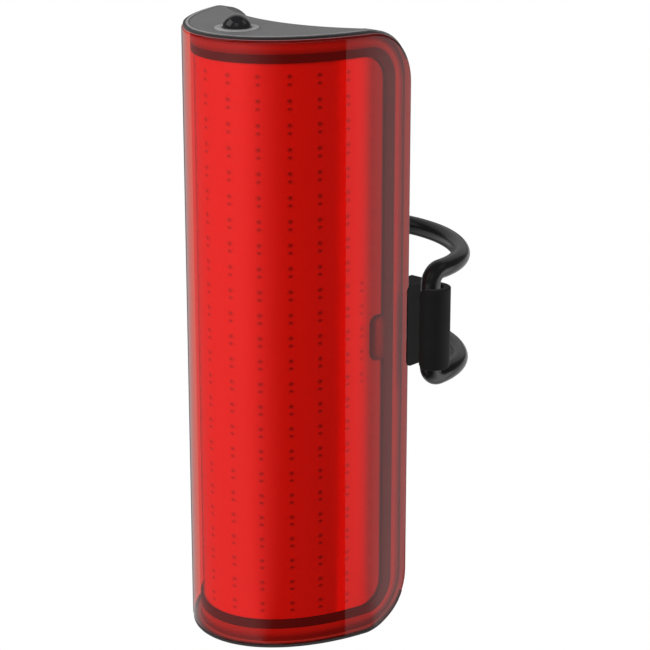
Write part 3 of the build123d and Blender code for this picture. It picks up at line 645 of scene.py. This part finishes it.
# Film that bonds the lens to the housing's rim
BOND_INSET = 1.52 * MM
BOND_THICKNESS = 0.05 * MM
BOND_MARGIN = 0.7 * MM
GASKET_LOW = 3.1 * MM
GASKET_TOP = 3.2 * MM
GASKET_REAR = 2.7 * MM
GASKET_CORNER = 6.0 * MM
bond_outer = (lens_low.z + BOND_MARGIN, lens_high.z - BOND_MARGIN, BOND_MARGIN,
              LENS_CORNER - BOND_MARGIN)
bond_inner = (BASE_Z + GASKET_LOW, TOP_Z - GASKET_TOP, GASKET_REAR, GASKET_CORNER)
points, faces = curved_band(bond_outer, bond_inner, BOND_INSET, BOND_THICKNESS)
make_piece("lens_bond", points, faces, bond_film)

# Maroon window over the gasket's tab, with a raised frame
TAB_HALF_HEIGHT = 3.9 * MM
TAB_FRONT = 7.3 * MM
TAB_REAR = 4.9 * MM
TAB_ROUND = 1.2 * MM
TAB_FRAME = 0.35 * MM
TAB_FRAME_DEPTHS = (1.545 * MM, 0.03 * MM)
TAB_WINDOW_DEPTHS = (1.52 * MM, 0.02 * MM)
PATCH_TURN = 8
PATCH_CORE = 0.02


def side_patch(front, rear, half_height, corner, depths, hand):
    """Rounded plate on one side of the curved front, level with the tabs.

    Its front and rear are distances in front of the horn tips, its depths an inset and a thickness.
    """
    inset, thickness = depths
    low = BASE_Z + TAB_MIDDLE - half_height
    high = BASE_Z + TAB_MIDDLE + half_height
    outline = []
    for y, z, turn in ((front - corner, high - corner, 0), (front - corner, low + corner, 1),
                       (rear + corner, low + corner, 2), (rear + corner, high - corner, 3)):
        for step in range(PATCH_TURN + 1):
            angle = math.pi / 2 * (1 - turn) - math.pi / 2 * step / PATCH_TURN
            outline.append((y + corner * math.cos(angle), z + corner * math.sin(angle)))
    points, faces = [], []
    count = len(outline)
    middle = ((front + rear) / 2, (low + high) / 2)
    rims = []
    for depth, share in ((inset + thickness, 1.0), (inset, 1.0), (inset, PATCH_CORE)):
        start = len(points)
        for y, z in outline:
            gap = middle[0] + (y - middle[0]) * share
            level = middle[1] + (z - middle[1]) * share
            place = skin_point(depth, gap_angle(gap), level)
            points.append(Vector((-place.x * hand, place.y, place.z)))
        rims.append(list(range(start, start + count)))
    for index in range(2):
        faces += bridge(rims[index], rims[index + 1])
    faces.append(tuple(rims[2]))
    faces.append(tuple(rims[0][::-1]))
    return points, faces


for side_name, hand in (("left", -1), ("right", 1)):
    points, faces = side_patch(TAB_FRONT, TAB_REAR, TAB_HALF_HEIGHT, TAB_ROUND,
                               TAB_FRAME_DEPTHS, hand)
    make_piece("tab_frame_" + side_name, points, faces, tab_maroon)
    points, faces = side_patch(TAB_FRONT - TAB_FRAME, TAB_REAR + TAB_FRAME,
                               TAB_HALF_HEIGHT - TAB_FRAME, TAB_ROUND - TAB_FRAME,
                               TAB_WINDOW_DEPTHS, hand)
    make_piece("tab_window_" + side_name, points, faces, tab_light)

# Dark strips between the lens and the two plates and in a groove on the top plate, painted shade,
# and a light border on the top plate's edge, a painted highlight
STRIP_STEPS = 200
STRIP_END = 1.0 * MM
STRIP_EASE = 4.5 * MM
LIP = 0.5 * MM


def rim_strip(name, outer, inner, low, high, material):
    """Strip round the curved front, between two insets and two levels, that eases into the lens
    where the corners start, so that it stays inside their outline.
    """
    start = gap_angle(STRIP_END)
    inward = -1 if high > 0 else 1
    face, back = (high, low) if high > 0 else (low, high)
    points, faces = [], []
    for step in range(STRIP_STEPS + 1):
        angle = start + (math.pi - 2 * start) * step / STRIP_STEPS
        behind = max(0.0, LENS_CORNER - DEPTH * math.sin(angle))
        drop = LENS_CORNER - math.sqrt(LENS_CORNER**2 - behind**2)
        near = face + inward * (drop + LIP * min(1.0, behind / STRIP_EASE))
        far = near + (back - face) * (1 - behind / LENS_CORNER)
        for inset, z in ((outer, near), (outer, far), (inner, far), (inner, near)):
            points.append(skin_point(inset, angle, z))
    for step in range(STRIP_STEPS):
        for side in range(4):
            a, b = 4 * step + side, 4 * step + (side + 1) % 4
            faces.append((a, b, b + 4, a + 4))
    last = 4 * STRIP_STEPS
    faces += [(3, 2, 1, 0), (last, last + 1, last + 2, last + 3)]
    piece = make_piece(name, points, faces, material)
    for polygon in piece.data.polygons:
        polygon.use_smooth = False


# Near-black strips in the recesses where the lens meets the bottom and top plates: painted shade.
rim_strip("shade_strip_low", 0.12 * MM, 0.80 * MM, BASE_Z + 0.02 * MM, BASE_Z + LIP, rim_painted_shade)
rim_strip("shade_strip_high", 0.30 * MM, 0.80 * MM, TOP_Z - LIP, TOP_Z - 0.12 * MM, rim_painted_shade)
# A light strip on the top plate's edge, a painted highlight, and a near-black strip in the groove
# inside it, painted shade.
rim_strip("plate_edge_highlight", 0.78 * MM, 1.25 * MM, TOP_Z - 0.02 * MM, TOP_Z + 0.03 * MM, rim_painted_highlight)
rim_strip("groove_shade", 1.25 * MM, 1.45 * MM, TOP_Z - 0.02 * MM, TOP_Z + 0.01 * MM, rim_painted_shade)

# Strap
STRAP_RADIUS = 1.75 * MM
STRAP_BEND = 2.5 * MM
STRAP_SIDE_RADIUS = 17.0 * MM
STRAP_SIDES = 40
SWEEP_STEPS = 24
BEND_STEPS = 11
LEG_STEPS = 12


def strap_route():
    """Closed centre line: up the right leg, round behind the post, down the left leg and back."""
    half = strap_high.x - STRAP_RADIUS
    leg_y = strap_low.y + STRAP_RADIUS
    start_y = leg_y + STRAP_BEND
    reach = strap_high.y - STRAP_RADIUS - start_y
    offset = half - STRAP_SIDE_RADIUS
    rear_radius = ((offset**2 + reach**2 - STRAP_SIDE_RADIUS**2)
                   / (2 * (reach - STRAP_SIDE_RADIUS)))
    rear_middle = reach - rear_radius
    turn = math.atan2(-rear_middle, offset)
    levels = (strap_low.z + STRAP_RADIUS, strap_high.z - STRAP_RADIUS)
    quarter = []
    for step in range(SWEEP_STEPS + 1):
        angle = turn * step / SWEEP_STEPS
        quarter.append((offset + STRAP_SIDE_RADIUS * math.cos(angle),
                        start_y + STRAP_SIDE_RADIUS * math.sin(angle)))
    for step in range(1, SWEEP_STEPS + 1):
        angle = turn + (math.pi / 2 - turn) * step / SWEEP_STEPS
        quarter.append((rear_radius * math.cos(angle),
                        start_y + rear_middle + rear_radius * math.sin(angle)))
    over = quarter + [(-x, y) for x, y in reversed(quarter[:-1])]
    upper = [Vector((x, y, levels[1])) for x, y in over]
    lower = [Vector((-x, y, levels[0])) for x, y in over]
    route = []
    for hand, strand in ((1, upper), (-1, lower)):
        low, high = levels if hand > 0 else levels[::-1]
        rise = 1 if hand > 0 else -1
        for step in range(BEND_STEPS):
            angle = math.pi / 2 * step / BEND_STEPS
            route.append(Vector((hand * half, start_y - STRAP_BEND * math.sin(angle),
                                 low + rise * STRAP_BEND * (1 - math.cos(angle)))))
        for step in range(LEG_STEPS + 1):
            z = low + rise * STRAP_BEND + (high - low - 2 * rise * STRAP_BEND) * step / LEG_STEPS
            route.append(Vector((hand * half, leg_y, z)))
        for step in range(1, BEND_STEPS):
            angle = math.pi / 2 * step / BEND_STEPS
            route.append(Vector((hand * half, leg_y + STRAP_BEND * (1 - math.cos(angle)),
                                 high - rise * STRAP_BEND * (1 - math.sin(angle)))))
        route += strand[:-1]
    return route


def tube(route, radius, sides):
    """Closed tube round a closed route, with steady section frames."""
    count = len(route)
    tangents = [(route[(i + 1) % count] - route[i - 1]).normalized() for i in range(count)]
    across = Vector((1, 0, 0)) - tangents[0] * tangents[0].x
    across.normalize()
    frames = []
    for tangent in tangents:
        across = (across - tangent * across.dot(tangent)).normalized()
        frames.append(across.copy())
    closing = (across - tangents[0] * across.dot(tangents[0])).normalized()
    twist = math.atan2(closing.cross(frames[0]).dot(tangents[0]), closing.dot(frames[0]))
    points, faces = [], []
    for index in range(count):
        tangent, side = tangents[index], frames[index]
        up = tangent.cross(side)
        for step in range(sides):
            angle = 2 * math.pi * step / sides + twist * index / count
            points.append(route[index] + (side * math.cos(angle) + up * math.sin(angle)) * radius)
    for index in range(count):
        first = [index * sides + step for step in range(sides)]
        following = (index + 1) % count
        second = [following * sides + step for step in range(sides)]
        faces += bridge(second, first)
    return points, faces


points, faces = tube(strap_route(), STRAP_RADIUS, STRAP_SIDES)
strap = make_piece("ring_strap", points, faces, strap_silicone)
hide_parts("strap")
strap.visible_glossy = False

# Button dome and ring
DOME_RADIUS = 2.5 * MM
DOME_STEPS = 16
FLANGE_THICKNESS = 0.8 * MM
RING_BORE = 2.6 * MM
RING_ROUND = 0.12 * MM
RING_STEPS = 6
button_middle = ((ring_low.x + ring_high.x) / 2, (ring_low.y + ring_high.y) / 2)
dome_rise = dome_high.z - TOP_Z
flange_z = dome_low.z + FLANGE_THICKNESS
profile = [(0, dome_low.z), (dome_high.x, dome_low.z), (dome_high.x, flange_z),
           (DOME_RADIUS, flange_z)]
for step in range(DOME_STEPS + 1):
    angle = math.pi / 2 * step / DOME_STEPS
    profile.append((DOME_RADIUS * math.cos(angle), TOP_Z + dome_rise * math.sin(angle)))
points, faces = lathe(profile, button_middle)
dome = make_piece("push_dome", points, faces, gloss_black, body="button")
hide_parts("button_dome")

ring_radius = ring_high.x
profile = [(RING_BORE, ring_low.z), (ring_radius, ring_low.z)]
for step in range(RING_STEPS + 1):
    angle = math.pi / 2 * step / RING_STEPS
    profile.append((ring_radius - RING_ROUND * (1 - math.cos(angle)),
                    ring_high.z - RING_ROUND * (1 - math.sin(angle))))
for step in range(RING_STEPS + 1):
    angle = math.pi / 2 * step / RING_STEPS
    profile.append((RING_BORE + RING_ROUND * (1 - math.sin(angle)),
                    ring_high.z - RING_ROUND * (1 - math.cos(angle))))
points, faces = lathe(profile, button_middle)
ring = make_piece("light_ring", points, faces, ring_grey)
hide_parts("button_ring")


# Floor, lights and camera


def flat_stage(name, points, faces, material):
    """A stage mesh that isn't part of the object."""
    mesh = bpy.data.meshes.new(name)
    mesh.from_pydata(points, [], faces)
    mesh.materials.append(material)
    piece = add_object(name, mesh)
    return piece


FLOOR_HALF = 3.0
FLOOR_MIRRORED = 0.70
FLOOR_GREY = 0.25
FLOOR_ROUGHNESS = 0.9
pale, tree = new_material("pale_floor")
shader = tree.nodes["Principled BSDF"]
shader.inputs["Base Color"].default_value = (FLOOR_GREY, FLOOR_GREY, FLOOR_GREY, 1)
shader.inputs["Roughness"].default_value = FLOOR_ROUGHNESS
shader.inputs["Specular IOR Level"].default_value = 0.0
glow = add_node(tree, "ShaderNodeEmission")
path = add_node(tree, "ShaderNodeLightPath")
mix = add_node(tree, "ShaderNodeMixShader")
seen = add_node(tree, "ShaderNodeMath", operation="MAXIMUM")
mirrored = add_node(tree, "ShaderNodeMath", operation="MULTIPLY")
mirrored.inputs[1].default_value = FLOOR_MIRRORED
tree.links.new(path.outputs["Is Glossy Ray"], mirrored.inputs[0])
tree.links.new(path.outputs["Is Camera Ray"], seen.inputs[0])
tree.links.new(mirrored.outputs["Value"], seen.inputs[1])
tree.links.new(seen.outputs["Value"], mix.inputs["Fac"])
tree.links.new(shader.outputs["BSDF"], mix.inputs[1])
tree.links.new(glow.outputs["Emission"], mix.inputs[2])
tree.links.new(mix.outputs["Shader"], tree.nodes["Material Output"].inputs["Surface"])
flat_stage("floor", [(x * FLOOR_HALF, y * FLOOR_HALF, BASE_Z)
                     for x, y in ((-1, -1), (1, -1), (1, 1), (-1, 1))], [(0, 1, 2, 3)], pale)


def only_mirrored(piece):
    """Show a stage mesh to glossy rays alone."""
    piece.visible_camera = False
    piece.visible_diffuse = False
    piece.visible_transmission = False
    piece.visible_shadow = False


def aim_from(holder, azimuth, rise, distance, target=Vector((0, 0, 0))):
    """Place an object about a target and turn it there. Azimuth 0 is in front, 90 to the right."""
    a, e = math.radians(azimuth), math.radians(rise)
    back = Vector((math.sin(a) * math.cos(e), -math.cos(a) * math.cos(e), math.sin(e)))
    holder.location = target + back * distance
    holder.rotation_euler = back.to_track_quat("Z", "Y").to_euler()


MAT_LIFT = 0.5 * MM
MAT_RADIUS = 2.0
MAT_STEPS = 24


def mat_finish(name, tone, apex, first, full):
    """A mat seen only in reflections, clear at one azimuth about its apex and solid at another."""
    material, tree = new_material(name)
    solid = add_node(tree, "ShaderNodeEmission")
    solid.inputs["Color"].default_value = (tone, tone, tone, 1)
    clear = add_node(tree, "ShaderNodeBsdfTransparent")
    place = add_node(tree, "ShaderNodeNewGeometry")
    parts = add_node(tree, "ShaderNodeSeparateXYZ")
    tree.links.new(place.outputs["Position"], parts.inputs["Vector"])
    across = add_node(tree, "ShaderNodeMath", operation="SUBTRACT")
    across.inputs[1].default_value = apex[0]
    ahead = add_node(tree, "ShaderNodeMath", operation="SUBTRACT")
    ahead.inputs[0].default_value = apex[1]
    tree.links.new(parts.outputs["X"], across.inputs[0])
    tree.links.new(parts.outputs["Y"], ahead.inputs[1])
    azimuth = add_node(tree, "ShaderNodeMath", operation="ARCTAN2")
    tree.links.new(across.outputs["Value"], azimuth.inputs[0])
    tree.links.new(ahead.outputs["Value"], azimuth.inputs[1])
    ramp = add_node(tree, "ShaderNodeMapRange", interpolation_type="SMOOTHSTEP")
    ramp.inputs["From Min"].default_value = math.radians(first)
    ramp.inputs["From Max"].default_value = math.radians(full)
    tree.links.new(azimuth.outputs["Value"], ramp.inputs["Value"])
    mix = add_node(tree, "ShaderNodeMixShader")
    tree.links.new(ramp.outputs["Result"], mix.inputs["Fac"])
    tree.links.new(clear.outputs["BSDF"], mix.inputs[1])
    tree.links.new(solid.outputs["Emission"], mix.inputs[2])
    tree.links.new(mix.outputs["Shader"], tree.nodes["Material Output"].inputs["Surface"])
    return material


def reflect_mat(name, apex, start, end, material):
    """A fan on the floor from one azimuth to another, seen only by glossy rays."""
    points = [(apex[0], apex[1], BASE_Z + MAT_LIFT)]
    for step in range(MAT_STEPS + 1):
        angle = math.radians(start + (end - start) * step / MAT_STEPS)
        points.append((apex[0] + MAT_RADIUS * math.sin(angle),
                       apex[1] - MAT_RADIUS * math.cos(angle), BASE_Z + MAT_LIFT))
    fan = [(0, step, step + 1) for step in range(1, MAT_STEPS + 1)]
    only_mirrored(flat_stage(name, points, fan, material))


def mirror_spot(azimuth):
    """The point on the lens that mirrors this azimuth to the camera."""
    slope = (math.radians(azimuth) + math.radians(CAMERA_AZIMUTH)) / 2
    across, ahead = HALF_WIDTH * math.sin(slope), DEPTH * math.cos(slope)
    size = math.hypot(across, ahead)
    return HALF_WIDTH * across / size, TIP_Y - DEPTH * ahead / size


# The dark side of the studio ends in a sharp edge, which the lens mirrors as an upright line
DARK_SIDE_START = 0.0
DARK_SIDE_FULL = 62.0
DARK_SIDE_END = 98.9
DARK_SIDE_BACK = -30.0
DARK_TONE = 0.06
edge_spot = mirror_spot(DARK_SIDE_END)
soft_spot = mirror_spot((DARK_SIDE_START + DARK_SIDE_FULL) / 2)
reflect_mat("dark_side", edge_spot, DARK_SIDE_BACK, DARK_SIDE_END,
            mat_finish("dark_side", DARK_TONE, soft_spot, DARK_SIDE_START, DARK_SIDE_FULL))
BRIGHT_START = 99.0
BRIGHT_FULL = 136.0
BRIGHT_END = 150.0
BRIGHT_TONE = 2.1
bright_spot = mirror_spot((BRIGHT_START + BRIGHT_FULL) / 2)
reflect_mat("bright_side", bright_spot, BRIGHT_START, BRIGHT_END,
            mat_finish("bright_side", BRIGHT_TONE, bright_spot, BRIGHT_START, BRIGHT_FULL))
LEFT_START = -114.0
LEFT_FULL = -126.0
LEFT_END = -150.0
LEFT_TONE = 0.14
left_spot = mirror_spot(LEFT_FULL)
reflect_mat("left_side", left_spot, LEFT_START, LEFT_END,
            mat_finish("left_side", LEFT_TONE, left_spot, LEFT_START, LEFT_FULL))

WORLD_DIFFUSE = 0.30
WORLD_GLOSSY = 0.14
world = bpy.data.worlds.new("studio")
bpy.context.scene.world = world
world.use_nodes = True
tree = world.node_tree
background = tree.nodes["Background"]
background.inputs["Color"].default_value = (1, 1, 1, 1)
background.inputs["Strength"].default_value = WORLD_DIFFUSE
dim = add_node(tree, "ShaderNodeBackground")
dim.inputs["Strength"].default_value = WORLD_GLOSSY
white = add_node(tree, "ShaderNodeBackground")
white.inputs["Strength"].default_value = 1.0
path = add_node(tree, "ShaderNodeLightPath")
seen = add_node(tree, "ShaderNodeMath", operation="MAXIMUM")
tree.links.new(path.outputs["Is Camera Ray"], seen.inputs[0])
tree.links.new(path.outputs["Is Transmission Ray"], seen.inputs[1])
lit = add_node(tree, "ShaderNodeMixShader")
tree.links.new(path.outputs["Is Glossy Ray"], lit.inputs["Fac"])
tree.links.new(background.outputs["Background"], lit.inputs[1])
tree.links.new(dim.outputs["Background"], lit.inputs[2])
mix = add_node(tree, "ShaderNodeMixShader")
tree.links.new(seen.outputs["Value"], mix.inputs["Fac"])
tree.links.new(lit.outputs["Shader"], mix.inputs[1])
tree.links.new(white.outputs["Background"], mix.inputs[2])
tree.links.new(mix.outputs["Shader"], tree.nodes["World Output"].inputs["Surface"])


def area_light(name, azimuth, rise, distance, size, power):
    """A soft square light that points at the middle of the object."""
    lamp = bpy.data.lights.new(name, "AREA")
    lamp.shape = "RECTANGLE"
    lamp.size, lamp.size_y = size, size
    lamp.energy = power
    holder = add_object(name, lamp)
    aim_from(holder, azimuth, rise, distance)
    holder.visible_glossy = False


def softbox(name, azimuth, rise, distance, size, strength):
    """A glowing panel that only reflections show."""
    material, tree = new_material(name)
    glow = add_node(tree, "ShaderNodeEmission")
    glow.inputs["Strength"].default_value = strength
    tree.links.new(glow.outputs["Emission"], tree.nodes["Material Output"].inputs["Surface"])
    across, up = size[0] / 2, size[1] / 2
    corners = [(-across, -up, 0), (across, -up, 0), (across, up, 0), (-across, up, 0)]
    panel = flat_stage(name, corners, [(0, 1, 2, 3)], material)
    aim_from(panel, azimuth, rise, distance)
    only_mirrored(panel)


# Azimuth and rise in degrees, distance and size in metres, power in watts
area_light("key", 10, 22, 1.0, 0.7, 10.5)
area_light("fill", 110, 30, 1.0, 0.6, 3.0)
area_light("left_fill", -75, 20, 1.0, 0.6, 3.0)
area_light("top", 200, 70, 1.2, 0.8, 2.0)
softbox("left_panel", -34, 38, 1.0, (0.8, 0.7), 0.9)
softbox("middle_panel", 40, 38, 1.0, (0.5, 0.45), 0.45)
softbox("right_panel", 128, 42, 1.0, (0.5, 0.5), 0.45)
softbox("rear_panel", 222, 34, 1.0, (1.6, 1.0), 0.5)

camera_data = bpy.data.cameras.new("camera")
camera_data.lens = CAMERA_LENS
camera_data.shift_x = CAMERA_SHIFT_X
camera_data.shift_y = CAMERA_SHIFT_Y
camera_data.clip_start = CAMERA_NEAR
camera = add_object("camera", camera_data)
aim_from(camera, CAMERA_AZIMUTH, CAMERA_RISE, CAMERA_DISTANCE, CAMERA_TARGET)
bpy.context.scene.camera = camera
bpy.context.scene.view_settings.view_transform = "Standard"
